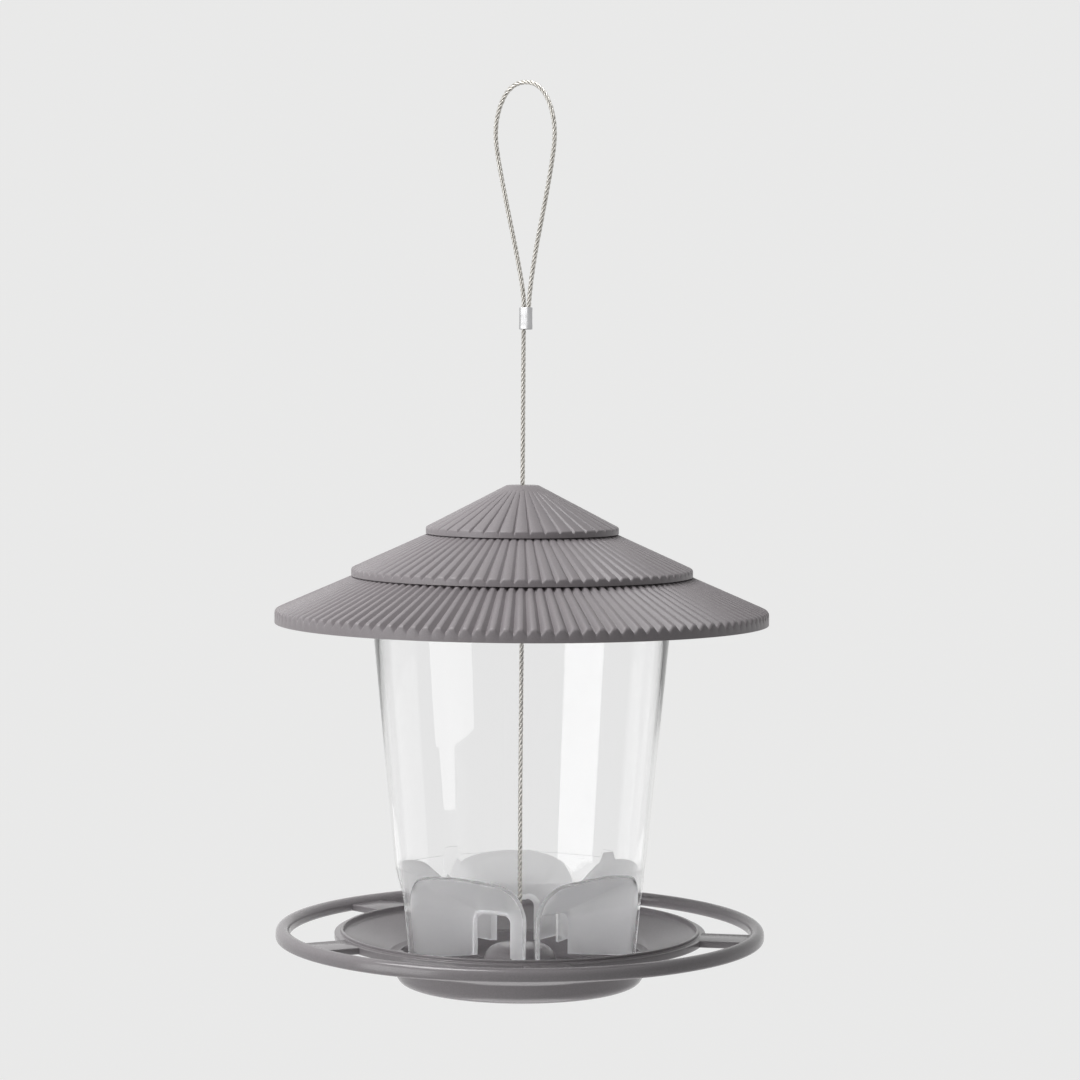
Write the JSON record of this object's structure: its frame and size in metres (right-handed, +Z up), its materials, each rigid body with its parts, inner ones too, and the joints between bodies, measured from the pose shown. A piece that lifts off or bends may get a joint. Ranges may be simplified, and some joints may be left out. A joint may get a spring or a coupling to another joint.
{
  "type": "hanging bird feeder",
  "caption": "Hanging seed feeder: a clear tapered hopper with feeding niches on a dish with a perch ring, under a ribbed cone roof that slides up a steel cable loop.",
  "frame": {"origin": "point inside the cable loop where a hook carries the feeder", "axes": "+Z up along the cable, the feeder's axis; the picture looks along +Y"},
  "size_m": [0.22, 0.22, 0.402],
  "materials": {
    "roof_plastic": "moulded matte grey",
    "clear_plastic": "clear, slightly hazy",
    "tray_plastic": "satin grey",
    "cable_steel": "twisted strand",
    "sleeve_aluminium": "satin, crimped",
    "washer_steel": "zinc plated"
  },
  "bodies": {
    "hanger": {"hanging_cable": "cable_steel", "ferrule": "sleeve_aluminium", "cable_stop": "sleeve_aluminium", "washer": "washer_steel"},
    "tray": {"tray": "tray_plastic", "perch_ring": "tray_plastic"},
    "hopper": {"hopper": "clear_plastic"},
    "roof": {"roof": "roof_plastic"}
  },
  "joints": [
    {"name": "tray_swivel", "type": "hinge", "parent": "hanger", "child": "tray", "pos_m": [0, 0, -0.38], "axis": [0, 0, 1], "continuous": true},
    {"name": "hopper_twist", "type": "hinge", "parent": "tray", "child": "hopper", "pos_m": [0, 0, -0.38], "axis": [0, 0, 1], "range_deg": [0, 15]},
    {"name": "roof_lift", "type": "slide", "parent": "hopper", "child": "roof", "axis": [0, 0, 1], "range_m": [0, 0.0688]}
  ]
}
